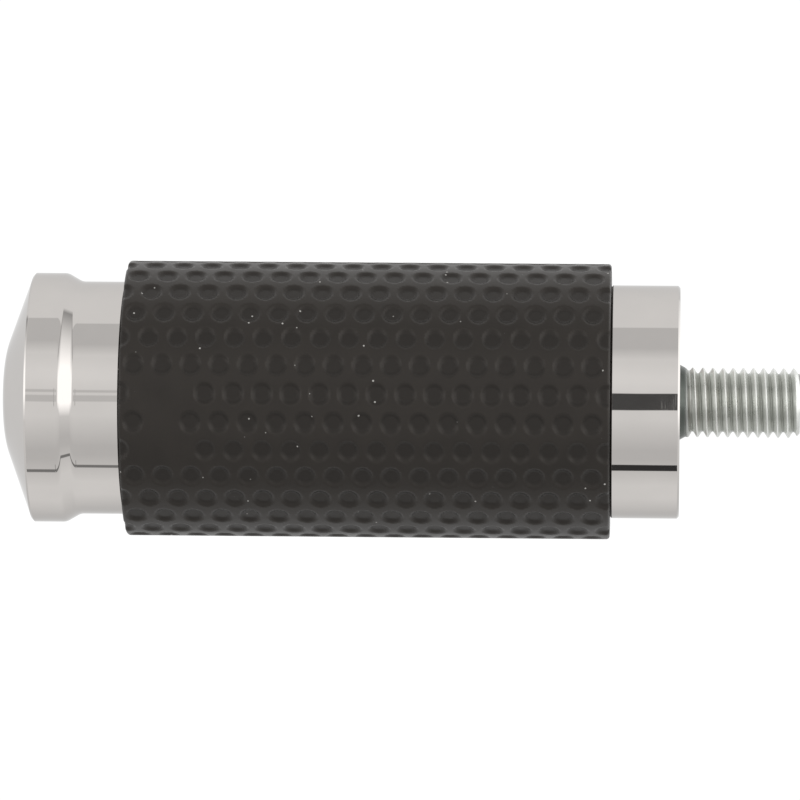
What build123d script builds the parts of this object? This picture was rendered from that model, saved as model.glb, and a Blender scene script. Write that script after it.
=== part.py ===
from build123d import *
import math
import os

# Motorcycle foot peg: a chromed end cap screwed into a ribbed barrel, a rubber sleeve keyed on
# the barrel, and a chromed collar on the threaded stud that screws into the lever or hanger.
# Millimetres, +Z up. The peg's axis is X. The origin is the centre of the collar's mounting
# face, the stud runs out along +X and the peg lies on -X.

# ---- Driving dimensions ----

# Stud: 1/4-28 UNF outside, a flared plain part through the collar, 5/16-24 UNF in the barrel
STUD_CREST_R = 3.15
STUD_ROOT_R = 2.62
STUD_PITCH = 25.4 / 28
STUD_LENGTH = 10.8
FLARE_R = 3.40
FLARE_LENGTH = 0.45
STUD_INNER_CREST_R = 3.90
STUD_INNER_ROOT_R = 3.37
STUD_INNER_PITCH = 25.4 / 24
STUD_INNER_LENGTH = 12.0
STUD_BORE_DEPTH = 13.0

# Collar and end cap
COLLAR_R = 10.5
COLLAR_LENGTH = 6.2
EDGE_CHAMFER = 0.18
RING_R = 11.25
RING_LENGTH = 3.0
CONE_LENGTH = 1.3
CONE_BLEND_R = 1.1
SHOULDER_LENGTH = 4.2
NOSE_LENGTH = 2.77
NOSE_DOME_R = 29.7
NOSE_DOME_EDGE_R = 4.3
NOSE_BLEND_R = 8.5

# Rubber sleeve and barrel
SLEEVE_R = 12.4
SLEEVE_LENGTH = 43.5
SLEEVE_EDGE_R = 0.3
BARREL_R = 8.0
BARREL_DRILL_R = 2.75
RIB_COUNT = 6
RIB_WIDTH = 1.8
RIB_HEIGHT = 0.9

# End cap's spigot, 3/8-24 UNF
SPIGOT_CREST_R = 4.70
SPIGOT_ROOT_R = 4.11
SPIGOT_PITCH = 25.4 / 24
SPIGOT_LENGTH = 9.6
SPIGOT_BORE_DEPTH = 11.0
NECK_R = 4.80
NECK_LENGTH = 1.1

# O-ring and its seat in the barrel's mouth
SEAL_SECTION_R = 0.5
SEAL_SEAT_R = 5.92
SEAL_SEAT_DEPTH = 1.15

# Lock pellet in the spigot's thread
PELLET_R = 0.8
PELLET_TIP_R = 4.6
PELLET_LENGTH = 1.9
PELLET_FROM_FACE = 5.6

# Dowel pin between the collar and the barrel
DOWEL_R = 1.0
DOWEL_LENGTH = 6.0
DOWEL_CIRCLE_R = 5.8
DOWEL_CHAMFER = 0.2

# M3 grub screw that locks the stud in the barrel
GRUB_R = 1.5
GRUB_LENGTH = 3.5
GRUB_FROM_COLLAR = 5.0
GRUB_SOCKET_FLATS = 1.5
GRUB_SOCKET_DEPTH = 1.3
GRUB_CHAMFER = 0.25

# Clearances
CAP_GAP = 0.05
SLIP = 0.05
END_CHAMFER = 0.4

# ---- Places along the axis ----

COLLAR_BACK = -COLLAR_LENGTH
SLEEVE_END = COLLAR_BACK - SLEEVE_LENGTH
CAP_FACE = SLEEVE_END - CAP_GAP
SHOULDER_END = CAP_FACE - SHOULDER_LENGTH
CONE_END = SHOULDER_END - CONE_LENGTH
RING_END = CONE_END - RING_LENGTH
NOSE_TIP = RING_END - NOSE_LENGTH
SPIGOT_END = CAP_FACE + SPIGOT_LENGTH
STUD_INNER_END = COLLAR_BACK - STUD_INNER_LENGTH
SEAL_X = CAP_FACE + NECK_LENGTH / 2
PELLET_X = CAP_FACE + PELLET_FROM_FACE
GRUB_X = COLLAR_BACK - GRUB_FROM_COLLAR
GRUB_TIP_R = STUD_INNER_CREST_R + 2 * SLIP


def thread_outline(start, end, crest_r, root_r, pitch):
    """Corners of a thread drawn as rings, from start to end, with a level crest at each."""
    crest = pitch / 4
    root = pitch / 8
    flank = (pitch - crest - root) / 2
    turns = int((end - start - crest) / pitch)
    first_groove = end - turns * pitch
    points = [(start, crest_r)]
    for turn in range(turns):
        groove = first_groove + turn * pitch
        points.append((groove, crest_r))
        points.append((groove + flank, root_r))
        points.append((groove + flank + root, root_r))
        points.append((groove + 2 * flank + root, crest_r))
    points.append((end, crest_r))
    return points


def dome_point(radius):
    """A point of the nose's shallow dome, at a given distance from the axis."""
    sag = NOSE_DOME_R - math.sqrt(NOSE_DOME_R**2 - radius**2)
    return (NOSE_TIP + sag, radius)


def keyed_section(slip):
    """The barrel's ribbed cross-section, grown by slip for the sleeve's bore."""
    Circle(BARREL_R + slip)
    with PolarLocations(BARREL_R, RIB_COUNT):
        Rectangle(2 * (RIB_HEIGHT + slip), RIB_WIDTH + 2 * slip)


def radial_plane(x, radius):
    """A plane that faces +Z at a place along the axis and a height above it."""
    return Plane(origin=(x, 0, radius), x_dir=(1, 0, 0), z_dir=(0, 0, 1))


os.makedirs("parts", exist_ok=True)

# ---- End cap: nose, ring, cone and shoulder, with the threaded spigot behind them ----

with BuildPart() as end_cap:
    with BuildSketch(Plane.XZ):
        with BuildLine():
            dome = ThreePointArc(
                dome_point(0), dome_point(NOSE_DOME_EDGE_R / 2), dome_point(NOSE_DOME_EDGE_R)
            )
            Polyline(
                dome @ 1,
                (RING_END, RING_R),
                (CONE_END, RING_R),
                (SHOULDER_END, COLLAR_R),
                (CAP_FACE, COLLAR_R),
                (CAP_FACE, NECK_R),
                (CAP_FACE + NECK_LENGTH, NECK_R),
                *thread_outline(
                    CAP_FACE + NECK_LENGTH,
                    SPIGOT_END - END_CHAMFER,
                    SPIGOT_CREST_R,
                    SPIGOT_ROOT_R,
                    SPIGOT_PITCH,
                ),
                (SPIGOT_END, SPIGOT_CREST_R - END_CHAMFER),
                (SPIGOT_END, 0),
                dome @ 0,
            )
        make_face()
        fillet(vertices().sort_by_distance(dome @ 1)[0], radius=NOSE_BLEND_R)
        for corner in ((CONE_END, RING_R), (SHOULDER_END, COLLAR_R)):
            fillet(vertices().sort_by_distance(corner)[0], radius=CONE_BLEND_R)
        for corner in ((RING_END, RING_R), (CAP_FACE, COLLAR_R)):
            chamfer(vertices().sort_by_distance(corner)[0], length=EDGE_CHAMFER)
    revolve(axis=Axis.X)
    with Locations(radial_plane(PELLET_X, SPIGOT_CREST_R)):
        Hole(PELLET_R + SLIP, SPIGOT_CREST_R - PELLET_TIP_R + PELLET_LENGTH + SLIP)

end_cap.part.label = "end_cap"
export_step(end_cap.part, "parts/end_cap.step")

# ---- O-ring on the spigot's neck ----

with BuildPart() as cap_o_ring:
    with BuildSketch(Plane.XZ):
        with Locations((SEAL_X, NECK_R + SLIP + SEAL_SECTION_R)):
            Circle(SEAL_SECTION_R)
    revolve(axis=Axis.X)

cap_o_ring.part.label = "cap_o_ring"
export_step(cap_o_ring.part, "parts/cap_o_ring.step")

# ---- Nylon pellet that keeps the cap from shaking loose ----

with BuildPart() as cap_lock_pellet:
    with BuildSketch(radial_plane(PELLET_X, PELLET_TIP_R - PELLET_LENGTH)):
        Circle(PELLET_R)
    extrude(amount=PELLET_LENGTH)

cap_lock_pellet.part.label = "cap_lock_pellet"
export_step(cap_lock_pellet.part, "parts/cap_lock_pellet.step")

# ---- Barrel: ribbed extrusion, drilled through and tapped at both ends ----

with BuildPart() as barrel:
    with BuildSketch(Plane.YZ.offset(SLEEVE_END)):
        keyed_section(0)
        Circle(BARREL_DRILL_R, mode=Mode.SUBTRACT)
    extrude(amount=SLEEVE_LENGTH)
    with BuildSketch(Plane.YZ.offset(SLEEVE_END)):
        Circle(SPIGOT_CREST_R + SLIP)
    extrude(amount=SPIGOT_BORE_DEPTH, mode=Mode.SUBTRACT)
    with BuildSketch(Plane.YZ.offset(SLEEVE_END)):
        Circle(SEAL_SEAT_R)
    extrude(amount=SEAL_SEAT_DEPTH, mode=Mode.SUBTRACT)
    with BuildSketch(Plane.YZ.offset(COLLAR_BACK)):
        Circle(STUD_INNER_CREST_R + SLIP)
    extrude(amount=-STUD_BORE_DEPTH, mode=Mode.SUBTRACT)
    with BuildSketch(Plane.YZ.offset(COLLAR_BACK)):
        with Locations((0, -DOWEL_CIRCLE_R)):
            Circle(DOWEL_R + SLIP)
    extrude(amount=-(DOWEL_LENGTH / 2 + SLIP), mode=Mode.SUBTRACT)
    with Locations(radial_plane(GRUB_X, BARREL_R)):
        Hole(GRUB_R + SLIP, BARREL_R - STUD_INNER_CREST_R)

barrel.part.label = "barrel"
export_step(barrel.part, "parts/barrel.step")

# ---- Rubber sleeve, with a bore keyed to the barrel's ribs ----

with BuildPart() as rubber_sleeve:
    with BuildSketch(Plane.YZ.offset(SLEEVE_END)):
        Circle(SLEEVE_R)
    extrude(amount=SLEEVE_LENGTH)
    fillet(edges().filter_by(GeomType.CIRCLE), radius=SLEEVE_EDGE_R)
    with BuildSketch(Plane.YZ.offset(SLEEVE_END)):
        keyed_section(SLIP)
    extrude(amount=SLEEVE_LENGTH, mode=Mode.SUBTRACT)

rubber_sleeve.part.label = "rubber_sleeve"
export_step(rubber_sleeve.part, "parts/rubber_sleeve.step")

# ---- Collar, between the barrel and whatever the peg is screwed to ----

with BuildPart() as inner_collar:
    with BuildSketch(Plane.YZ.offset(COLLAR_BACK)):
        Circle(COLLAR_R)
    extrude(amount=COLLAR_LENGTH)
    chamfer(edges().filter_by(GeomType.CIRCLE), length=EDGE_CHAMFER)
    with BuildSketch(Plane.YZ.offset(COLLAR_BACK)):
        Circle(FLARE_R + SLIP)
    extrude(amount=COLLAR_LENGTH, mode=Mode.SUBTRACT)
    with BuildSketch(Plane.YZ.offset(COLLAR_BACK)):
        with Locations((0, -DOWEL_CIRCLE_R)):
            Circle(DOWEL_R + SLIP)
    extrude(amount=DOWEL_LENGTH / 2 + SLIP, mode=Mode.SUBTRACT)

inner_collar.part.label = "inner_collar"
export_step(inner_collar.part, "parts/inner_collar.step")

# ---- Dowel pin that stops the collar turning on the barrel ----

with BuildPart() as collar_dowel_pin:
    with BuildSketch(Plane.YZ.offset(COLLAR_BACK - DOWEL_LENGTH / 2)):
        with Locations((0, -DOWEL_CIRCLE_R)):
            Circle(DOWEL_R)
    extrude(amount=DOWEL_LENGTH)
    chamfer(edges().filter_by(GeomType.CIRCLE), length=DOWEL_CHAMFER)

collar_dowel_pin.part.label = "collar_dowel_pin"
export_step(collar_dowel_pin.part, "parts/collar_dowel_pin.step")

# ---- Mounting stud: threaded at both ends, plain through the collar, flared at its face ----

with BuildPart() as mounting_stud:
    with BuildSketch(Plane.XZ):
        with BuildLine():
            Polyline(
                (STUD_INNER_END, 0),
                (STUD_INNER_END, STUD_INNER_CREST_R - END_CHAMFER),
                *thread_outline(
                    STUD_INNER_END + END_CHAMFER,
                    COLLAR_BACK,
                    STUD_INNER_CREST_R,
                    STUD_INNER_ROOT_R,
                    STUD_INNER_PITCH,
                ),
                (COLLAR_BACK, FLARE_R),
                (0, FLARE_R),
                *thread_outline(
                    FLARE_LENGTH,
                    STUD_LENGTH - END_CHAMFER,
                    STUD_CREST_R,
                    STUD_ROOT_R,
                    STUD_PITCH,
                ),
                (STUD_LENGTH, STUD_CREST_R - END_CHAMFER),
                (STUD_LENGTH, 0),
                (STUD_INNER_END, 0),
            )
        make_face()
    revolve(axis=Axis.X)

mounting_stud.part.label = "mounting_stud"
export_step(mounting_stud.part, "parts/mounting_stud.step")

# ---- Grub screw, hidden under the sleeve, with its tip on the stud ----

with BuildPart() as stud_grub_screw:
    with BuildSketch(radial_plane(GRUB_X, GRUB_TIP_R)):
        Circle(GRUB_R)
    extrude(amount=GRUB_LENGTH)
    chamfer(edges().filter_by(GeomType.CIRCLE), length=GRUB_CHAMFER)
    with BuildSketch(radial_plane(GRUB_X, GRUB_TIP_R + GRUB_LENGTH)):
        RegularPolygon(GRUB_SOCKET_FLATS / 2, side_count=6, major_radius=False)
    extrude(amount=-GRUB_SOCKET_DEPTH, mode=Mode.SUBTRACT)

stud_grub_screw.part.label = "stud_grub_screw"
export_step(stud_grub_screw.part, "parts/stud_grub_screw.step")
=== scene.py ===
import math

import bpy
import numpy as np
from mathutils import Matrix, Vector
from mathutils.geometry import tessellate_polygon


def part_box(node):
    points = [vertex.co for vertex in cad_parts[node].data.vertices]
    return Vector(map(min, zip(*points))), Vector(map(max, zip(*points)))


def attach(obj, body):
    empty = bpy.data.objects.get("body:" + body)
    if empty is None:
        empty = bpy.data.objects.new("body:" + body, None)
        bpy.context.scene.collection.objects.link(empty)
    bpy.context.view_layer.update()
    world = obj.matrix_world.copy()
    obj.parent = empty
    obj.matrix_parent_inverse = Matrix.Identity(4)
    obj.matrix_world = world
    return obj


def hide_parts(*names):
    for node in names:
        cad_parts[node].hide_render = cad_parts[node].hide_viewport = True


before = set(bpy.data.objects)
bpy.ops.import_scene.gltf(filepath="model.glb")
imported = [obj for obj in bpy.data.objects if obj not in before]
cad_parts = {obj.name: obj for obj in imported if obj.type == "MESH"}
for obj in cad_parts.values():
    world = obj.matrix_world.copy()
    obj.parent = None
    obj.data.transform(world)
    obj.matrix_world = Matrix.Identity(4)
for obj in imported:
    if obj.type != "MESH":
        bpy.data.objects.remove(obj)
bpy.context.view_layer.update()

# Motorcycle foot peg: chromed end cap, dimpled rubber sleeve on a ribbed barrel, chromed collar
# and a threaded mounting stud. The axis is X, the stud points along +X, and the origin is the
# centre of the collar's mounting face. Shapes are worked out in millimetres, and the meshes are
# written in metres.

MM = 0.001


def node_span(node, axis=0):
    """Lowest and highest coordinate of a CAD node along an axis, in millimetres."""
    low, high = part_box(node)
    return low[axis] / MM, high[axis] / MM


# ---- Places read from the CAD parts ----

SLEEVE_END, COLLAR_BACK = node_span("rubber_sleeve")
COLLAR_FACE = node_span("inner_collar")[1]
NOSE_TIP, SPIGOT_END = node_span("end_cap")
STUD_INNER_END, STUD_END = node_span("mounting_stud")
SLEEVE_R = node_span("rubber_sleeve", 2)[1]
COLLAR_R = node_span("inner_collar", 1)[1]
RING_R = -node_span("end_cap", 2)[0]
STUD_INNER_CREST_R = node_span("mounting_stud", 2)[1]
SLEEVE_LENGTH = COLLAR_BACK - SLEEVE_END

# ---- Sizes of the chromed parts ----

CAP_GAP = 0.05
SHOULDER_LENGTH = 4.2
CONE_LENGTH = 1.3
CONE_BLEND_R = 1.1
RING_LENGTH = 3.0
NOSE_DOME_R = 29.7
NOSE_DOME_ANGLE = 6.7
NOSE_BLEND_R = 8.5
NOSE_FLANK_ANGLE = 19.4
EDGE_CHAMFER = 0.18
EDGE_ROUND = 0.05
NECK_R = 4.80
NECK_LENGTH = 1.1
DOWEL_CIRCLE_R = 5.8
DOWEL_HOLE_R = 1.05
DOWEL_HOLE_DEPTH = 3.05

CAP_FACE = SLEEVE_END - CAP_GAP
SHOULDER_END = CAP_FACE - SHOULDER_LENGTH
CONE_END = SHOULDER_END - CONE_LENGTH
RING_END = CONE_END - RING_LENGTH

# ---- Threads: crest radius, root radius, pitch, and the turn at which they start ----

STUD_THREAD = (3.15, 2.62, 25.4 / 28, 0.44)
STUD_INNER_THREAD = (STUD_INNER_CREST_R, 3.37, 25.4 / 24, 0.0)
SPIGOT_THREAD = (4.70, 4.11, 25.4 / 24, 0.0)
CREST_FLAT = 0.07
ROOT_FLAT = 0.12
FLANK_ROUNDING = 0.3
STUD_RUN_OUT = 0.7 * STUD_THREAD[2]
SPIGOT_RUN_OUT = SPIGOT_THREAD[2]
END_CHAMFER = 0.4
FLARE_R = 3.40
FLARE_LENGTH = 0.45
COLLAR_BORE_R = 3.45

# ---- Rubber sleeve: dimples in staggered rows, 30 rows around ----

DIMPLE_ROWS = 30
DIMPLE_PITCH = 2.541
DIMPLE_HALF_LENGTH = 1.06
DIMPLE_HALF_WIDTH = 1.15
DIMPLE_DEPTH = 0.27
DIMPLE_FLOOR = 0.52
FIRST_ROW_ANGLE = -2.2
FIRST_DIMPLE_FROM_END = 0.02
PAD_FROM_END = (2.2, 5.6)
PAD_ANGLES = (-10.0, 27.0)
SLEEVE_EDGE_R = 0.3
BORE_R = 8.05
KEYWAY_COUNT = 6
KEYWAY_TOP_R = 8.95
KEYWAY_HALF_WIDTH = 0.95

# ---- Fineness of the meshes ----

WELD_PER_MM = 20000
ROUNDING_STEP = 4
SLEEVE_EDGE_STEP = 15
CHROME_SEGMENTS = 192
STUD_SEGMENTS = 96
DOWEL_HOLE_SEGMENTS = 32
SPIGOT_ROWS_PER_TURN = 10
STUD_INNER_ROWS_PER_TURN = 8
STUD_ROWS_PER_TURN = 14
STEPS_PER_DIMPLE = 13


# ---- Meshes, mostly turned round the X axis ----


def mesh_piece(name, points, faces, normals, materials, slots=None):
    """An object in metres, from points in millimetres and the exact normal at every corner."""
    mesh = bpy.data.meshes.new(name)
    mesh.from_pydata((np.array(points) * MM).tolist(), [], faces)
    for material in materials:
        mesh.materials.append(material)
    if slots:
        mesh.polygons.foreach_set("material_index", slots)
    mesh.shade_smooth()
    mesh.normals_split_custom_set(normals)
    mesh.update()
    piece = bpy.data.objects.new(name, mesh)
    bpy.context.scene.collection.objects.link(piece)
    return piece


class Shell:
    """A mesh gathered face by face in millimetres, with its exact normal at every corner."""

    def __init__(self):
        self.places = {}
        self.points = []
        self.faces = []
        self.normals = []
        self.slots = []

    def vertex(self, point):
        key = tuple(round(value * WELD_PER_MM) for value in point)
        if key not in self.places:
            self.places[key] = len(self.points)
            self.points.append(point)
        return self.places[key]

    def face(self, points, normals, slot=0):
        """Adds a face, without the corners that fall on the one before them."""
        corners = [self.vertex(point) for point in points]
        kept = [k for k in range(len(corners)) if corners[k] != corners[k - 1]]
        if len({corners[k] for k in kept}) < 3:
            return
        self.faces.append([corners[k] for k in kept])
        self.normals.extend(normals[k] for k in kept)
        self.slots.append(slot)

    def piece(self, name, materials):
        """The finished object."""
        return mesh_piece(name, self.points, self.faces, self.normals, materials, self.slots)


def around(x, radius, angle):
    """A point at a place along the axis, a distance from it, and an angle from +Y towards +Z."""
    return (x, radius * math.cos(angle), radius * math.sin(angle))


def turn(shell, run, segments, slot=0):
    """Turns a run of outline points (x, radius, normal x, normal radius) into a strip of faces."""
    step = 2 * math.pi / segments
    for first, second in zip(run, run[1:]):
        for k in range(segments):
            corners = ((first, k), (first, k + 1), (second, k + 1), (second, k))
            points = [around(p[0], p[1], (j % segments) * step) for p, j in corners]
            normals = [around(p[2], p[3], j * step) for p, j in corners]
            shell.face(points, normals, slot)


def straight(start, end):
    """A straight run, with its outside on the left of its direction."""
    along = (Vector(end) - Vector(start)).normalized()
    return [(*start, -along.y, along.x), (*end, -along.y, along.x)]


def arc(centre, radius, start_angle, end_angle, steps=12):
    """A round run. The angles are the normal's, from -X at 0 to straight out from the axis at 90.
    A negative radius makes a hollow."""
    run = []
    for k in range(steps + 1):
        angle = math.radians(start_angle + (end_angle - start_angle) * k / steps)
        normal = (-math.cos(angle), math.sin(angle))
        run.append((centre[0] + radius * normal[0], centre[1] + radius * normal[1], *normal))
    return run


def rounded(corners):
    """Runs through corners given as (x, radius, rounding), each rounded as it says."""
    places = [Vector(corner[:2]) for corner in corners]
    runs = []
    start = places[0]
    for k in range(1, len(corners) - 1):
        into = (places[k] - places[k - 1]).normalized()
        out = (places[k + 1] - places[k]).normalized()
        bend = into.x * out.y - into.y * out.x
        rounding = corners[k][2]
        if rounding == 0:
            runs.append(straight(start, places[k]))
            start = places[k]
            continue
        half_turn = math.acos(max(-1.0, min(1.0, into.dot(out)))) / 2
        trim = rounding * math.tan(half_turn)
        side = -math.copysign(rounding, bend)
        end = places[k] - into * trim
        centre = end - Vector((-into.y, into.x)) * side
        angles = [math.degrees(math.atan2(along.x, along.y)) for along in (into, out)]
        steps = max(3, round(math.degrees(half_turn) / ROUNDING_STEP))
        runs.append(straight(start, end))
        runs.append(arc(centre, side, *angles, steps=steps))
        start = places[k] + out * trim
    runs.append(straight(start, places[-1]))
    return runs


def thread_radius(x, angle, thread, start, end, run_out, chamfer):
    """Radius of a right-hand thread at x and at an angle in turns. It runs out over the first
    run_out millimetres, and the chamfer takes its crests off at the end."""
    crest, root, pitch, first_turn = thread
    turns = (x - start) / pitch - angle + first_turn
    from_root = 2 * np.abs(turns - np.floor(turns) - 0.5)
    flank = np.clip((from_root - ROOT_FLAT) / (1 - ROOT_FLAT - CREST_FLAT), 0, 1)
    rounded_flank = flank * flank * (3 - 2 * flank)
    height = (1 - FLANK_ROUNDING) * flank + FLANK_ROUNDING * rounded_flank
    depth = np.clip((x - start) / run_out, 0, 1)
    radius = crest - (crest - root) * (1 - height) * depth
    return np.minimum(radius, crest - chamfer + np.maximum(end - x, 0))


def surface_normals(slope_x, slope_turn, angle):
    """Unit normals of a surface round the axis. The slopes are its radius's change along the
    axis, and around it as a share of the radius to the radian."""
    sine, cosine = np.sin(angle), np.cos(angle)
    normals = np.stack([-slope_x, cosine + slope_turn * sine, sine - slope_turn * cosine], axis=-1)
    return normals / np.linalg.norm(normals, axis=-1, keepdims=True)


def helix(shell, thread, start, end, segments, per_turn, run_out, slot=0):
    """A thread whose grid of faces follows the helix, cut flat at both ends."""
    pitch = thread[2]
    rows = math.ceil((end - start) / pitch + 1) * per_turn
    index = np.arange(-per_turn, rows + 1)[:, None]
    turns = np.arange(segments + 1)[None, :] / segments
    x = np.clip(start + pitch * (index / per_turn + turns), start, end)
    shape = (thread, start, end, run_out, END_CHAMFER)
    nudge = 0.01
    radius = thread_radius(x, turns, *shape)
    rise = thread_radius(x + nudge, turns, *shape) - thread_radius(x - nudge, turns, *shape)
    slope_x = rise / (2 * nudge)
    slope_turn = -slope_x * pitch / (2 * math.pi * radius)
    angle = np.broadcast_to(2 * math.pi * turns, x.shape)
    normals = surface_normals(slope_x, slope_turn, angle)
    points = np.stack([x, radius * np.cos(angle), radius * np.sin(angle)], axis=-1)
    for i in range(len(index) - 1):
        for j in range(segments):
            corners = ((i, j), (i, j + 1), (i + 1, j + 1), (i + 1, j))
            shell.face([tuple(points[c]) for c in corners], [tuple(normals[c]) for c in corners], slot)


def end_radius(thread, start, end, run_out, angle):
    """Radius of a thread's cut end at an angle in turns."""
    return float(thread_radius(end, angle, thread, start, end, run_out, END_CHAMFER))


def thread_end(shell, thread, start, end, segments, run_out, facing, slot=0):
    """The flat face at a thread's end, from its uneven rim to the axis."""
    rim = [
        around(end, end_radius(thread, start, end, run_out, k / segments), 2 * math.pi * k / segments)
        for k in range(segments)
    ]
    for k in range(segments):
        points = [rim[k], rim[(k + 1) % segments], (end, 0, 0)]
        shell.face(points, [(facing, 0, 0)] * 3, slot)


# ---- Materials ----


def new_material(name, **sockets):
    """A material with its own shader's sockets set, their spaces written as underscores."""
    material = bpy.data.materials.new(name)
    material.use_nodes = True
    shader = material.node_tree.nodes["Principled BSDF"]
    for socket, value in sockets.items():
        shader.inputs[socket.replace("_", " ")].default_value = value
    return material


def add_node(material, kind, **settings):
    """A new node, with plain settings, and with inputs given by number as in0, in1."""
    node = material.node_tree.nodes.new(kind)
    for name, value in settings.items():
        if name.startswith("in") and name[2:].isdigit():
            node.inputs[int(name[2:])].default_value = value
        else:
            setattr(node, name, value)
    return node


def link(material, source, target):
    material.node_tree.links.new(source, target)


def feed(material, socket, source):
    """Feeds a socket of the material's own shader."""
    link(material, source, material.node_tree.nodes["Principled BSDF"].inputs[socket])


def place_of(material, stretch=(1, 1, 1)):
    """The surface's own coordinates in metres, stretched."""
    coordinates = add_node(material, "ShaderNodeTexCoord")
    mapping = add_node(material, "ShaderNodeMapping")
    mapping.inputs["Scale"].default_value = stretch
    link(material, coordinates.outputs["Object"], mapping.inputs["Vector"])
    return mapping.outputs["Vector"]


def noise(material, scale, detail=3.0, roughness=0.55, stretch=(1, 1, 1)):
    """Fractal noise over the surface, scale in features to the metre."""
    texture = add_node(material, "ShaderNodeTexNoise")
    texture.inputs["Scale"].default_value = scale
    texture.inputs["Detail"].default_value = detail
    texture.inputs["Roughness"].default_value = roughness
    link(material, place_of(material, stretch), texture.inputs["Vector"])
    return texture.outputs["Fac"]


def remap(material, value, low, high, to_low, to_high, smooth=False):
    """A value mapped from one range to another, and held at its ends."""
    node = add_node(material, "ShaderNodeMapRange")
    node.interpolation_type = "SMOOTHSTEP" if smooth else "LINEAR"
    for socket, number in zip(("From Min", "From Max", "To Min", "To Max"), (low, high, to_low, to_high)):
        node.inputs[socket].default_value = number
    link(material, value, node.inputs["Value"])
    return node.outputs["Result"]


def mix_colours(material, factor, first, second):
    """A colour between two, each a colour or another node's output."""
    node = add_node(material, "ShaderNodeMix", data_type="RGBA")
    link(material, factor, node.inputs["Factor"])
    for socket, colour in zip(("A", "B"), (first, second)):
        target = next(s for s in node.inputs if s.name == socket and s.type == "RGBA")
        if isinstance(colour, tuple):
            target.default_value = (*colour, 1)
        else:
            link(material, colour, target)
    return next(s for s in node.outputs if s.type == "RGBA")


def bump(material, height, distance, strength=1.0, normal=None):
    """Relief of a depth in metres, on top of another if there is one."""
    node = add_node(material, "ShaderNodeBump")
    node.inputs["Strength"].default_value = strength
    node.inputs["Distance"].default_value = distance
    link(material, height, node.inputs["Height"])
    if normal is not None:
        link(material, normal, node.inputs["Normal"])
    return node.outputs["Normal"]


def radius_of(material):
    """Distance of the surface from the peg's axis, in metres."""
    flat = place_of(material, (0, 1, 1))
    node = add_node(material, "ShaderNodeVectorMath", operation="LENGTH")
    link(material, flat, node.inputs[0])
    return node.outputs["Value"]


def specks(material, scale, size, share):
    """1 on small round specks strewn about at random, 0 elsewhere."""
    texture = add_node(material, "ShaderNodeTexVoronoi")
    texture.inputs["Scale"].default_value = scale
    link(material, place_of(material), texture.inputs["Vector"])
    chance = add_node(material, "ShaderNodeSeparateColor")
    link(material, texture.outputs["Color"], chance.inputs["Color"])
    core = size * 0.6
    surely_chosen = share * 0.98
    near = remap(material, texture.outputs["Distance"], size, core, 0, 1)
    chosen = remap(material, chance.outputs["Red"], share, surely_chosen, 0, 1)
    speck = add_node(material, "ShaderNodeMath", operation="MULTIPLY")
    link(material, near, speck.inputs[0])
    link(material, chosen, speck.inputs[1])
    return speck.outputs["Value"]


def chrome():
    """Polished chrome plate: a trace of haze, wiping marks, and the faint waves of the polishing."""
    material = new_material("Chrome", Metallic=1.0, Specular_Tint=(0.78, 0.78, 0.78, 1))
    haze = noise(material, 260, detail=5)
    hazy = remap(material, haze, 0.3, 0.7, 0, 1)
    feed(material, "Base Color", mix_colours(material, hazy, (0.592, 0.566, 0.544), (0.572, 0.548, 0.527)))
    feed(material, "Roughness", remap(material, haze, 0.35, 0.75, 0.012, 0.035))
    waves = bump(material, noise(material, 170, detail=1), 1.2e-5)
    marks = noise(material, 9000, detail=2, stretch=(1, 0.05, 0.05))
    feed(material, "Normal", bump(material, marks, 1.5e-7, normal=waves))
    return material


def plated_thread():
    """Chrome-plated thread of the spigot: duller than the polished faces, with painted shade in its roots."""
    material = new_material("PlatedThread", Metallic=1.0)
    crest_r, root_r = SPIGOT_THREAD[:2]
    height = remap(material, radius_of(material), root_r * MM, crest_r * MM, 0, 1)
    grain = noise(material, 2600, detail=4)
    bright = mix_colours(material, grain, (0.50, 0.49, 0.47), (0.62, 0.60, 0.58))
    # Painted shade: the base colour darkens towards the thread's roots
    feed(material, "Base Color", mix_colours(material, height, (0.22, 0.21, 0.20), bright))
    feed(material, "Roughness", remap(material, grain, 0.3, 0.7, 0.2, 0.36))
    feed(material, "Normal", bump(material, grain, 4e-6))
    return material


def zinc():
    """Zinc-plated steel of the stud: satin and faintly green, with a painted highlight on its crests,
    painted shade in its roots, and painted shade darkest where it leaves the collar."""
    material = new_material("ZincSteel", Metallic=1.0)
    crest_r, root_r = STUD_THREAD[:2]
    root_shade, crest_highlight_width = 0.09, 0.04
    shade_start, shade_end = 0.35, 1.1
    radius = radius_of(material)
    clouds = noise(material, 900, detail=5, roughness=0.65)
    cloudy = remap(material, clouds, 0.3, 0.7, 0, 1)
    flank = mix_colours(material, cloudy, (0.60, 0.61, 0.58), (0.74, 0.75, 0.72))
    # Painted shade: the colour darkens towards the thread's roots
    root = remap(material, radius, root_r * MM, (root_r + root_shade) * MM, 0, 1)
    with_root_shade = mix_colours(material, root, (0.30, 0.31, 0.28), flank)
    # Painted highlight: the crests are coloured near white
    crest = remap(material, radius, (crest_r - crest_highlight_width) * MM, crest_r * MM, 0, 1)
    with_crest_highlight = mix_colours(material, crest, with_root_shade, (0.88, 0.89, 0.86))
    along = add_node(material, "ShaderNodeSeparateXYZ")
    link(material, place_of(material), along.inputs[0])
    # Painted shade: the stud is coloured nearly black where it leaves the collar
    clear_of_collar_shade = remap(material, along.outputs["X"], shade_start * MM, shade_end * MM, 0, 1, smooth=True)
    feed(material, "Base Color", mix_colours(material, clear_of_collar_shade, (0.10, 0.11, 0.10), with_crest_highlight))
    feed(material, "Roughness", remap(material, clouds, 0.3, 0.7, 0.22, 0.42))
    feed(material, "Normal", bump(material, noise(material, 5200, detail=4), 6e-6))
    return material


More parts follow.
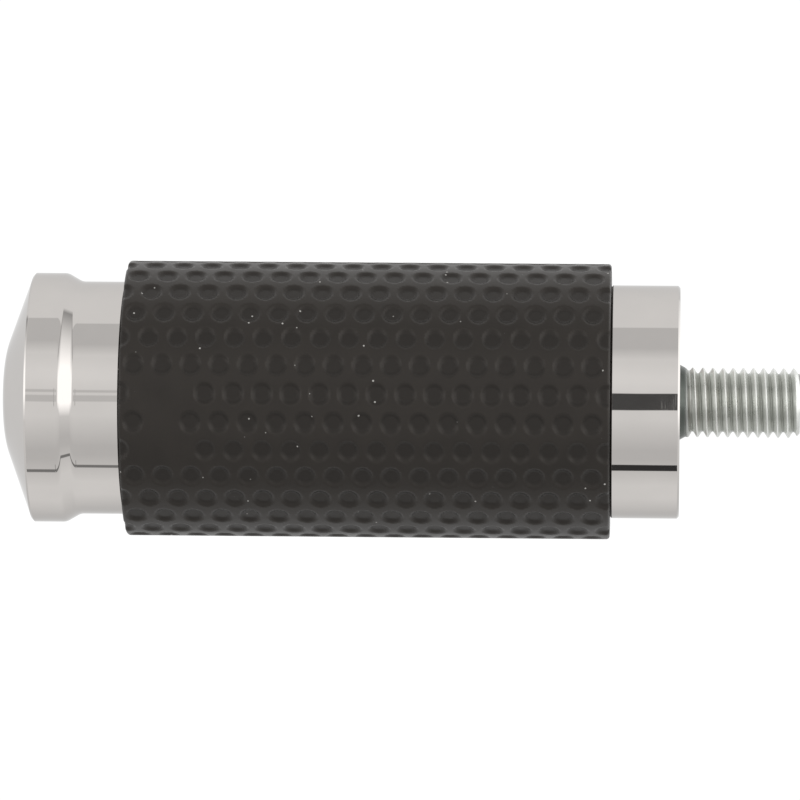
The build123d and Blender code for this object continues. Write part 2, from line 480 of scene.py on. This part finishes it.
def multiply_add(material, value, factor, added):
    """A value times a number, plus a number or another output."""
    node = add_node(material, "ShaderNodeMath", operation="MULTIPLY_ADD", in1=factor)
    link(material, value, node.inputs[0])
    if isinstance(added, float):
        node.inputs[2].default_value = added
    else:
        link(material, added, node.inputs[2])
    return node.outputs["Value"]


def sleeve_rubber():
    """Charcoal moulded rubber: fine grain, rougher patches, duller dimples with painted shade in them, and
    dust.
    """
    material = new_material("SleeveRubber", Specular_IOR_Level=0.40, Specular_Tint=(1.0, 0.93, 0.87, 1))
    dimple_roughness, land_polish, patch_roughness = 0.38, 0.05, 0.10
    patches = remap(material, noise(material, 320, detail=5, roughness=0.6), 0.3, 0.7, 0, 1)
    dimple_floor = SLEEVE_R - 0.8 * DIMPLE_DEPTH
    land = remap(material, radius_of(material), dimple_floor * MM, (SLEEVE_R - 0.03) * MM, 0, 1)
    worn = mix_colours(material, patches, (0.0105, 0.0088, 0.0074), (0.0150, 0.0127, 0.0107))
    # Painted shade: the dimples are coloured darker than the lands
    tone_with_dimple_shade = mix_colours(material, land, (0.0075, 0.0063, 0.0053), worn)
    dust = specks(material, 700, 0.075, 0.5)
    feed(material, "Base Color", mix_colours(material, dust, tone_with_dimple_shade, (0.42, 0.41, 0.39)))
    polished = multiply_add(material, land, -land_polish, dimple_roughness)
    feed(material, "Roughness", multiply_add(material, patches, patch_roughness, polished))
    grain = bump(material, noise(material, 7000, detail=3), 9e-6)
    ripple = bump(material, noise(material, 900, detail=2), 1.2e-5, normal=grain)
    feed(material, "Normal", bump(material, dust, 2e-5, normal=ripple))
    return material


def barrel_aluminium():
    """Extruded aluminium: fine die lines along the axis and a dull skin."""
    material = new_material("BarrelAluminium", Metallic=1.0)
    lines = noise(material, 4200, detail=4, stretch=(0.02, 1, 1))
    feed(material, "Base Color", mix_colours(material, lines, (0.62, 0.62, 0.61), (0.78, 0.78, 0.77)))
    feed(material, "Roughness", remap(material, lines, 0.3, 0.7, 0.26, 0.44))
    feed(material, "Normal", bump(material, lines, 6e-6))
    return material


def seal_rubber():
    """Black nitrile of the O-ring, slightly greased."""
    material = new_material("SealRubber", Specular_IOR_Level=0.5)
    grease = noise(material, 1500, detail=4)
    feed(material, "Base Color", mix_colours(material, grease, (0.008, 0.008, 0.009), (0.016, 0.016, 0.017)))
    feed(material, "Roughness", remap(material, grease, 0.3, 0.7, 0.18, 0.42))
    feed(material, "Normal", bump(material, noise(material, 9000, detail=2), 4e-6))
    return material


def nylon():
    """Blue nylon of the lock pellet, softened by light passing into it."""
    material = new_material("Nylon", Roughness=0.4, Subsurface_Weight=0.25, Subsurface_Scale=0.0006)
    cloud = noise(material, 2200, detail=3)
    feed(material, "Base Color", mix_colours(material, cloud, (0.04, 0.13, 0.38), (0.06, 0.18, 0.46)))
    feed(material, "Normal", bump(material, noise(material, 6000, detail=3), 8e-6))
    return material


def black_steel():
    """Black-oxide steel of the grub screw, a little oily."""
    material = new_material("BlackSteel", Metallic=1.0)
    oil = noise(material, 2400, detail=4)
    feed(material, "Base Color", mix_colours(material, oil, (0.030, 0.029, 0.028), (0.075, 0.072, 0.070)))
    feed(material, "Roughness", remap(material, oil, 0.3, 0.7, 0.26, 0.5))
    feed(material, "Normal", bump(material, oil, 5e-6))
    return material


def ground_steel():
    """Ground steel of the dowel: grinding lines round it."""
    material = new_material("GroundSteel", Metallic=1.0)
    lines = noise(material, 14000, detail=3, stretch=(1, 0.04, 0.04))
    feed(material, "Base Color", mix_colours(material, lines, (0.50, 0.50, 0.51), (0.64, 0.64, 0.65)))
    feed(material, "Roughness", remap(material, lines, 0.3, 0.7, 0.14, 0.3))
    feed(material, "Normal", bump(material, lines, 2e-6))
    return material


# ---- Pieces ----


def stands_for(piece, node, body):
    """Makes a piece ride on a body, in place of a CAD node and with its finish."""
    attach(piece, body)
    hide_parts(node)


def nose_runs():
    """The nose's dome, and the rounder blend that leads from it to the straight flank."""
    dome_centre = (NOSE_TIP + NOSE_DOME_R, 0)
    dome = arc(dome_centre, NOSE_DOME_R, 0, NOSE_DOME_ANGLE, steps=10)
    edge = dome[-1]
    blend_centre = (edge[0] - NOSE_BLEND_R * edge[2], edge[1] - NOSE_BLEND_R * edge[3])
    return dome, arc(blend_centre, NOSE_BLEND_R, NOSE_DOME_ANGLE, NOSE_FLANK_ANGLE, steps=8)


def make_end_cap(polish, thread_finish):
    """Chromed cap: domed nose, ring, cone and shoulder, and the helical thread of its spigot."""
    shell = Shell()
    dome, blend = nose_runs()
    outline = [
        (blend[-1][0], blend[-1][1], 0),
        (RING_END, RING_R - EDGE_CHAMFER, EDGE_ROUND),
        (RING_END + EDGE_CHAMFER, RING_R, EDGE_ROUND),
        (CONE_END, RING_R, CONE_BLEND_R),
        (SHOULDER_END, COLLAR_R, CONE_BLEND_R),
        (CAP_FACE - EDGE_CHAMFER, COLLAR_R, EDGE_ROUND),
        (CAP_FACE, COLLAR_R - EDGE_CHAMFER, EDGE_ROUND),
        (CAP_FACE, NECK_R, 0),
        (CAP_FACE + NECK_LENGTH, NECK_R, 0),
    ]
    for run in [dome, blend, *rounded(outline)]:
        turn(shell, run, CHROME_SEGMENTS)
    start = CAP_FACE + NECK_LENGTH
    step = straight((start, NECK_R), (start, SPIGOT_THREAD[0]))
    turn(shell, step, CHROME_SEGMENTS, slot=1)
    thread = (SPIGOT_THREAD, start, SPIGOT_END, CHROME_SEGMENTS)
    helix(shell, *thread, SPIGOT_ROWS_PER_TURN, SPIGOT_RUN_OUT, slot=1)
    thread_end(shell, *thread, SPIGOT_RUN_OUT, 1, slot=1)
    piece = shell.piece("cap_turned", [polish, thread_finish])
    stands_for(piece, "end_cap", "cap")


def ring_of(x, radius, segments, centre_z=0.0):
    """Points of a circle across the axis."""
    step = 2 * math.pi / segments
    return [(x, radius * math.cos(k * step), centre_z + radius * math.sin(k * step)) for k in range(segments)]


def drilled_face(shell, rims, facing):
    """A flat face across the axis, from its outer rim to the rims of the holes in it."""
    corners = [point for rim in rims for point in rim]
    flat = [[Vector((point[1], point[2], 0)) for point in rim] for rim in rims]
    for triangle in tessellate_polygon(flat):
        a, b, c = (Vector(corners[k]) for k in triangle)
        turned_right = (b - a).cross(c - a).x * facing > 0
        order = triangle if turned_right else triangle[::-1]
        shell.face([corners[k] for k in order], [(facing, 0, 0)] * 3)


def blind_hole(shell, rim, bottom):
    """The wall and the flat bottom of a hole bored along +X, from its rim."""
    count = len(rim)
    step = 2 * math.pi / count
    for k in range(count):
        after = (k + 1) % count
        wall = [rim[after], bottom[after], bottom[k], rim[k]]
        inward = [(0, -math.cos(j * step), -math.sin(j * step)) for j in (k + 1, k + 1, k, k)]
        shell.face(wall, inward)
    shell.face(bottom[::-1], [(-1, 0, 0)] * count)


def make_collar(polish):
    """Chromed collar: bevelled edges, the stud's bore, and the dowel's blind hole in its back."""
    shell = Shell()
    back_rim_r = COLLAR_R - 2 * EDGE_CHAMFER
    outline = [
        (COLLAR_BACK, back_rim_r, 0),
        (COLLAR_BACK, COLLAR_R - EDGE_CHAMFER, EDGE_ROUND),
        (COLLAR_BACK + EDGE_CHAMFER, COLLAR_R, EDGE_ROUND),
        (COLLAR_FACE - EDGE_CHAMFER, COLLAR_R, EDGE_ROUND),
        (COLLAR_FACE, COLLAR_R - EDGE_CHAMFER, EDGE_ROUND),
        (COLLAR_FACE, COLLAR_BORE_R, 0),
        (COLLAR_BACK, COLLAR_BORE_R, 0),
    ]
    for run in rounded(outline):
        turn(shell, run, CHROME_SEGMENTS)
    dowel_hole = (DOWEL_HOLE_R, DOWEL_HOLE_SEGMENTS, -DOWEL_CIRCLE_R)
    dowel_rim = ring_of(COLLAR_BACK, *dowel_hole)
    rims = [ring_of(COLLAR_BACK, radius, CHROME_SEGMENTS) for radius in (back_rim_r, COLLAR_BORE_R)]
    drilled_face(shell, [*rims, dowel_rim], -1)
    blind_hole(shell, dowel_rim, ring_of(COLLAR_BACK + DOWEL_HOLE_DEPTH, *dowel_hole))
    piece = shell.piece("collar_turned", [polish])
    stands_for(piece, "inner_collar", "peg")


def make_stud(finish):
    """Stud: coarse thread inside the barrel, plain part through the collar, flare and fine thread."""
    shell = Shell()
    crest_r = STUD_THREAD[0]
    inner_tip_r = STUD_INNER_CREST_R - END_CHAMFER
    inner_start = STUD_INNER_END + END_CHAMFER
    end_outline = [(STUD_INNER_END, 0), (STUD_INNER_END, inner_tip_r), (inner_start, STUD_INNER_CREST_R)]
    middle_outline = [
        (COLLAR_BACK, inner_tip_r),
        (COLLAR_BACK, FLARE_R),
        (COLLAR_FACE, FLARE_R),
        (FLARE_LENGTH, crest_r),
    ]
    for outline in (end_outline, middle_outline):
        for start, end in zip(outline, outline[1:]):
            turn(shell, straight(start, end), STUD_SEGMENTS)
    inner_thread = (STUD_INNER_THREAD, inner_start, COLLAR_BACK, STUD_SEGMENTS)
    helix(shell, *inner_thread, STUD_INNER_ROWS_PER_TURN, STUD_INNER_THREAD[2])
    thread = (STUD_THREAD, FLARE_LENGTH, STUD_END, STUD_SEGMENTS)
    helix(shell, *thread, STUD_ROWS_PER_TURN, STUD_RUN_OUT)
    thread_end(shell, *thread, STUD_RUN_OUT, 1)
    piece = shell.piece("stud_threaded", [finish])
    stands_for(piece, "mounting_stud", "peg")


def on_pad(from_end, angle):
    """Whether a dimple centred here would be on the plain pad near the outer end."""
    beside = np.abs(from_end - sum(PAD_FROM_END) / 2) < (PAD_FROM_END[1] - PAD_FROM_END[0]) / 2
    turned = (angle - sum(PAD_ANGLES) / 2 + 180) % 360 - 180
    return beside & (np.abs(turned) < (PAD_ANGLES[1] - PAD_ANGLES[0]) / 2)


def dimple_distance(from_end, angle, row_angle, first):
    """Distance from the nearest dimple of every other row, 1 at its rim. Angles are in degrees."""
    row_step = 2 * 360 / DIMPLE_ROWS
    across = angle - row_angle
    across -= row_step * np.round(across / row_step)
    along = from_end - first
    along -= DIMPLE_PITCH * np.round(along / DIMPLE_PITCH)
    arc_length = np.radians(across) * SLEEVE_R
    missing = on_pad(from_end - along, angle - across)
    return np.hypot(along / DIMPLE_HALF_LENGTH, arc_length / DIMPLE_HALF_WIDTH) + missing


def dimple_depth(from_end, angle):
    """Depth of the tread below the sleeve's full radius: flat-floored bowls with soft rims."""
    row_step = 360 / DIMPLE_ROWS
    even = dimple_distance(from_end, angle, FIRST_ROW_ANGLE, FIRST_DIMPLE_FROM_END)
    second_first = FIRST_DIMPLE_FROM_END + DIMPLE_PITCH / 2
    odd = dimple_distance(from_end, angle, FIRST_ROW_ANGLE + row_step, second_first)
    up_the_wall = np.clip((np.minimum(even, odd) - DIMPLE_FLOOR) / (1 - DIMPLE_FLOOR), 0, 1)
    return DIMPLE_DEPTH * (1 - up_the_wall**2 * (3 - 2 * up_the_wall))


def bore_radius(angle):
    """Radius of the sleeve's keyed bore at angles in degrees from +Y."""
    key_step = 360 / KEYWAY_COUNT
    local = np.radians(np.abs(angle - key_step * np.round(angle / key_step)))
    keyway = np.minimum(KEYWAY_TOP_R / np.cos(local), KEYWAY_HALF_WIDTH / np.maximum(np.sin(local), 1e-6))
    return np.maximum(keyway, BORE_R)


def edge_inset(from_end):
    """How far the sleeve's outline falls in at its rounded ends."""
    into = SLEEVE_EDGE_R - np.minimum(from_end, SLEEVE_LENGTH - from_end)
    into = np.clip(into, 0, SLEEVE_EDGE_R)
    return SLEEVE_EDGE_R - np.sqrt(SLEEVE_EDGE_R**2 - into**2)


def sleeve_stations():
    """Places along the sleeve: even ones on the tread, and closer ones on the rounded ends."""
    edge_angles = range(0, 90, SLEEVE_EDGE_STEP)
    rounds = [SLEEVE_EDGE_R * (1 - math.cos(math.radians(angle))) for angle in edge_angles]
    count = round((SLEEVE_LENGTH - 2 * SLEEVE_EDGE_R) / (DIMPLE_PITCH / STEPS_PER_DIMPLE))
    middle = np.linspace(SLEEVE_EDGE_R, SLEEVE_LENGTH - SLEEVE_EDGE_R, count + 1)
    return np.concatenate([rounds, middle, [SLEEVE_LENGTH - place for place in rounds[::-1]]])


def tread_radius(from_end, angle):
    """Outer radius of the sleeve, with its tread and its rounded ends."""
    return SLEEVE_R - edge_inset(from_end) - dimple_depth(from_end, angle)


def tread_normals(from_end, angle, turned):
    """Exact normals of the tread, from how its radius changes along the axis and around it."""
    nudge = 0.02
    nudge_degrees = 0.1
    slope_x = tread_radius(from_end + nudge, angle) - tread_radius(from_end - nudge, angle)
    slope_turn = tread_radius(from_end, angle + nudge_degrees) - tread_radius(from_end, angle - nudge_degrees)
    slope_turn /= 2 * math.radians(nudge_degrees) * tread_radius(from_end, angle)
    return surface_normals(slope_x / (2 * nudge), slope_turn, turned)


def closed_quads(rows, columns):
    """Faces of a grid that closes on itself both ways, as four point numbers each."""
    row, column = np.meshgrid(np.arange(rows), np.arange(columns), indexing="ij")
    after = (column + 1) % columns
    below = (row + 1) % rows
    quad = [row * columns + column, row * columns + after, below * columns + after, below * columns + column]
    return np.stack(quad, axis=-1)


def flat_normals(points, faces):
    """The same normal at all four corners of each face."""
    corners = points[faces]
    flat = np.cross(corners[..., 1, :] - corners[..., 0, :], corners[..., 3, :] - corners[..., 0, :])
    flat /= np.linalg.norm(flat, axis=-1, keepdims=True)
    return np.repeat(flat[..., None, :], 4, axis=2)


def make_sleeve(finish):
    """Rubber sleeve: dimpled tread, rounded ends cut through by the pattern, and a keyed bore."""
    columns = STEPS_PER_DIMPLE * DIMPLE_ROWS
    angle = np.arange(columns) * 360 / columns
    stations = sleeve_stations()
    # The rows are counted downwards from the side that faces -Y
    along, around_it = np.meshgrid(stations, angle - 180, indexing="ij")
    bore = bore_radius(angle)
    radii = np.vstack([bore, tread_radius(along, around_it), bore])
    places = np.concatenate([[0], stations, [SLEEVE_LENGTH]])
    turned = np.broadcast_to(np.radians(angle), radii.shape)
    across = np.broadcast_to(places[:, None] + SLEEVE_END, radii.shape)
    points = np.stack([across, radii * np.cos(turned), radii * np.sin(turned)], axis=-1).reshape(-1, 3)
    faces = closed_quads(len(places), columns)
    normals = flat_normals(points, faces)
    tread = tread_normals(along, around_it, turned[1:-1])
    after_tread = np.roll(tread, -1, axis=1)
    normals[1:-2] = np.stack([tread[:-1], after_tread[:-1], after_tread[1:], tread[1:]], axis=2)
    face_list = faces.reshape(-1, 4).tolist()
    piece = mesh_piece("sleeve_tread", points, face_list, normals.reshape(-1, 3).tolist(), [finish])
    stands_for(piece, "rubber_sleeve", "peg")


def finish_cad_node(node, material):
    """Gives a CAD part that stays its better material."""
    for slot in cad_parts[node].material_slots:
        slot.material = material


# ---- Camera, floor and light ----

CAMERA_DISTANCE = 604.0
CAMERA_X = -1.8
CAMERA_LENS = 301.5
AIM_X = -25.2
CAMERA_ROLL = 0.46
FLOOR_DROP = 60.0
FLOOR_R = 390.0
FLOOR_SEGMENTS = 96


def make_camera():
    """Long lens square to the peg's side, aimed a little towards the sleeve."""
    data = bpy.data.cameras.new("camera")
    data.lens = CAMERA_LENS
    data.clip_end = 10
    camera = bpy.data.objects.new("camera", data)
    bpy.context.scene.collection.objects.link(camera)
    place = Vector((CAMERA_X, -CAMERA_DISTANCE, 0)) * MM
    look = Vector((AIM_X, 0, 0)) * MM - place
    turned = look.to_track_quat("-Z", "Y").to_matrix().to_4x4()
    roll = Matrix.Rotation(math.radians(CAMERA_ROLL), 4, "Z")
    camera.matrix_world = Matrix.Translation(place) @ turned @ roll
    bpy.context.scene.camera = camera


def make_floor():
    """Pale round floor, well below the peg, which its stud holds up."""
    mesh = bpy.data.meshes.new("floor")
    circle = ring_of(0, FLOOR_R, FLOOR_SEGMENTS)
    rim = [Vector((point[1], point[2], -FLOOR_DROP)) * MM for point in circle]
    mesh.from_pydata(rim, [], [list(range(FLOOR_SEGMENTS))])
    material = new_material(
        "Floor",
        Base_Color=(0.82, 0.82, 0.81, 1),
        Roughness=0.9,
        Emission_Color=(1, 1, 1, 1),
        Emission_Strength=0.16,
    )
    mesh.materials.append(material)
    floor = bpy.data.objects.new("floor", mesh)
    floor.visible_glossy = False
    floor.visible_diffuse = False
    bpy.context.scene.collection.objects.link(floor)


# ---- Studio: a white tent of brightness 1, laid out by direction from the peg ----

# Angles are above the horizon in front of the peg: 0 is towards -Y, 90 straight up, below is negative.
# A band is its middle, its half width and the width of its soft edge
TENT_GLOW_BAND = (22, 3, 14)
TENT_GLOW = 1.08
VALANCE_ANGLES = (54, 79)
VALANCE_EDGES = (12, 1)
VALANCE_SHADE = 0.75
TABLE_FRONT_BAND = (-54, 5, 32)
TABLE_FRONT_SHADE = 0.74
UNDERSIDE_BAND = (-145, 4, 30)
UNDERSIDE_SHADE = 0.84
GAP_BAND = (-68.5, 3.2, 0.6)
GAP_SHADE = 0.06
GAP_SIDE_BAND = (-72, 1.2, 0.9)
GAP_SIDE_SHADE = 0.32
CAMERA_BAND = (0, 7.7, 0.9)
CAMERA_SHADE = 0.09
ARM_BANDS = ((6, 0.8, 0.9), (-1, 2.6, 0.9))
ARM_SHADE = 0.78
# These bands are across the view: the X part of the direction, or its size where both sides match
GAP_WIDTH = (0, 0.012, 0.02)
CAMERA_WIDTH = (-0.017, 0.0193, 0.0004)
ARM_WIDTH = (0.19, 0.11, 0.03)
# A side panel's heights and depths are shares of its distance. Each panel has its own share of the
# heights, and its own reach behind the peg
PANEL_BRIGHTNESS = 1.8
PANEL_BOTTOM = -0.2
PANEL_BOTTOM_EDGE = 0.1
PANEL_FADE = (0.5, 1.4)
PANEL_TOP_EDGE = 0.08
PANEL_TOP_SHADE = 0.45
PANEL_FRONT = -1.7
PANEL_SIDE_EDGE = 0.12
RIGHT_PANEL = (1.0, 1.7)
LEFT_PANEL = (0.4, 0.8)
BACKDROP = 1.05


def maths(world, operation, *values, clamp=False):
    """The output of a maths node in the world, fed with numbers or outputs."""
    node = world.node_tree.nodes.new("ShaderNodeMath")
    node.operation = operation
    node.use_clamp = clamp
    for socket, value in zip(node.inputs, values):
        if isinstance(value, (int, float)):
            socket.default_value = value
        else:
            world.node_tree.links.new(value, socket)
    return node.outputs["Value"]


def window(world, value, centre, half, soft):
    """1 where a value is within half of a centre, fading to 0 over soft."""
    offset = maths(world, "ABSOLUTE", maths(world, "SUBTRACT", value, centre))
    return maths(world, "MULTIPLY_ADD", offset, -1 / soft, 1 + half / soft, clamp=True)


def dimmed(world, light, mask, share):
    """A light with a share of its brightness left where a mask is 1."""
    return maths(world, "MULTIPLY", light, maths(world, "MULTIPLY_ADD", mask, share - 1, 1.0))


def rising(world, value, start, end):
    """0 below start, 1 past end, and straight in between. Falling, if start is the higher."""
    slope = 1 / (end - start)
    return maths(world, "MULTIPLY_ADD", value, slope, -start * slope, clamp=True)


def both(world, first, second):
    """Where two masks overlap."""
    return maths(world, "MULTIPLY", first, second)


def tent(world, angle):
    """The tent: a glow above the camera, its valance in shade, and the table's front and underside."""
    glow = window(world, angle, *TENT_GLOW_BAND)
    light = maths(world, "MULTIPLY_ADD", glow, TENT_GLOW - 1, 1.0)
    low, high = VALANCE_ANGLES
    low_edge, high_edge = VALANCE_EDGES
    above_low = rising(world, angle, low - low_edge, low)
    below_high = rising(world, angle, high, high - high_edge)
    light = dimmed(world, light, both(world, above_low, below_high), VALANCE_SHADE)
    light = dimmed(world, light, window(world, angle, *TABLE_FRONT_BAND), TABLE_FRONT_SHADE)
    return dimmed(world, light, window(world, angle, *UNDERSIDE_BAND), UNDERSIDE_SHADE)


def table_gap(world, light, aside, angle):
    """The gap under the table's front edge: wide and dark in the middle, thin at the sides."""
    middle = window(world, aside, *GAP_WIDTH)
    dark = both(world, middle, window(world, angle, *GAP_BAND))
    light = dimmed(world, light, dark, GAP_SHADE)
    sides = rising(world, middle, 1, 0)
    thin = both(world, sides, window(world, angle, *GAP_SIDE_BAND))
    return dimmed(world, light, thin, GAP_SIDE_SHADE)


def camera_shade(world, light, x, aside, angle):
    """The dark camera straight in front, and the thin arms of its stand."""
    camera = both(world, window(world, x, *CAMERA_WIDTH), window(world, angle, *CAMERA_BAND))
    light = dimmed(world, light, camera, CAMERA_SHADE)
    beside = window(world, aside, *ARM_WIDTH)
    for band in ARM_BANDS:
        arm = both(world, beside, window(world, angle, *band))
        light = dimmed(world, light, arm, ARM_SHADE)
    return light


def side_panel(world, light, facing, y, z, share, back):
    """A bright upright panel on one side, fading towards its top."""
    distance = maths(world, "MAXIMUM", facing, 0.001)
    height = maths(world, "DIVIDE", z, distance)
    depth = maths(world, "DIVIDE", y, distance)
    fade_start, top = (level * share for level in PANEL_FADE)
    bottom = PANEL_BOTTOM * share
    across = both(
        world,
        rising(world, depth, back, back - PANEL_SIDE_EDGE),
        rising(world, depth, PANEL_FRONT, PANEL_FRONT + PANEL_SIDE_EDGE),
    )
    upright = both(
        world,
        rising(world, height, bottom - PANEL_BOTTOM_EDGE, bottom + PANEL_BOTTOM_EDGE),
        rising(world, height, top + PANEL_TOP_EDGE * share, top),
    )
    shape = both(world, maths(world, "GREATER_THAN", facing, 0.001), both(world, across, upright))
    fade = rising(world, height, fade_start, top)
    brightness = maths(world, "MULTIPLY_ADD", fade, PANEL_TOP_SHADE - PANEL_BRIGHTNESS, PANEL_BRIGHTNESS)
    return maths(world, "MULTIPLY_ADD", shape, brightness, dimmed(world, light, shape, 0.0))


def make_world():
    """White tent by direction, and plain white where the camera looks past the peg."""
    world = bpy.data.worlds.new("studio")
    bpy.context.scene.world = world
    world.use_nodes = True
    nodes, links = world.node_tree.nodes, world.node_tree.links
    background = nodes["Background"]
    background.inputs["Color"].default_value = (1, 1, 1, 1)
    direction = nodes.new("ShaderNodeSeparateXYZ")
    links.new(nodes.new("ShaderNodeTexCoord").outputs["Generated"], direction.inputs[0])
    x, y, z = direction.outputs
    aside = maths(world, "ABSOLUTE", x)
    angle = maths(world, "DEGREES", maths(world, "ARCTAN2", z, maths(world, "MULTIPLY", y, -1.0)))
    light = table_gap(world, tent(world, angle), aside, angle)
    light = camera_shade(world, light, x, aside, angle)
    light = side_panel(world, light, x, y, z, *RIGHT_PANEL)
    light = side_panel(world, light, maths(world, "MULTIPLY", x, -1.0), y, z, *LEFT_PANEL)
    seen = maths(world, "MULTIPLY", nodes.new("ShaderNodeLightPath").outputs["Is Camera Ray"], BACKDROP)
    links.new(maths(world, "MAXIMUM", seen, light), background.inputs["Strength"])


# ---- Build ----

make_camera()
make_world()
make_floor()
bpy.context.scene.view_settings.view_transform = "Standard"

polish = chrome()
make_end_cap(polish, plated_thread())
make_collar(polish)
make_stud(zinc())
make_sleeve(sleeve_rubber())
finish_cad_node("barrel", barrel_aluminium())
finish_cad_node("cap_o_ring", seal_rubber())
finish_cad_node("cap_lock_pellet", nylon())
finish_cad_node("stud_grub_screw", black_steel())
finish_cad_node("collar_dowel_pin", ground_steel())
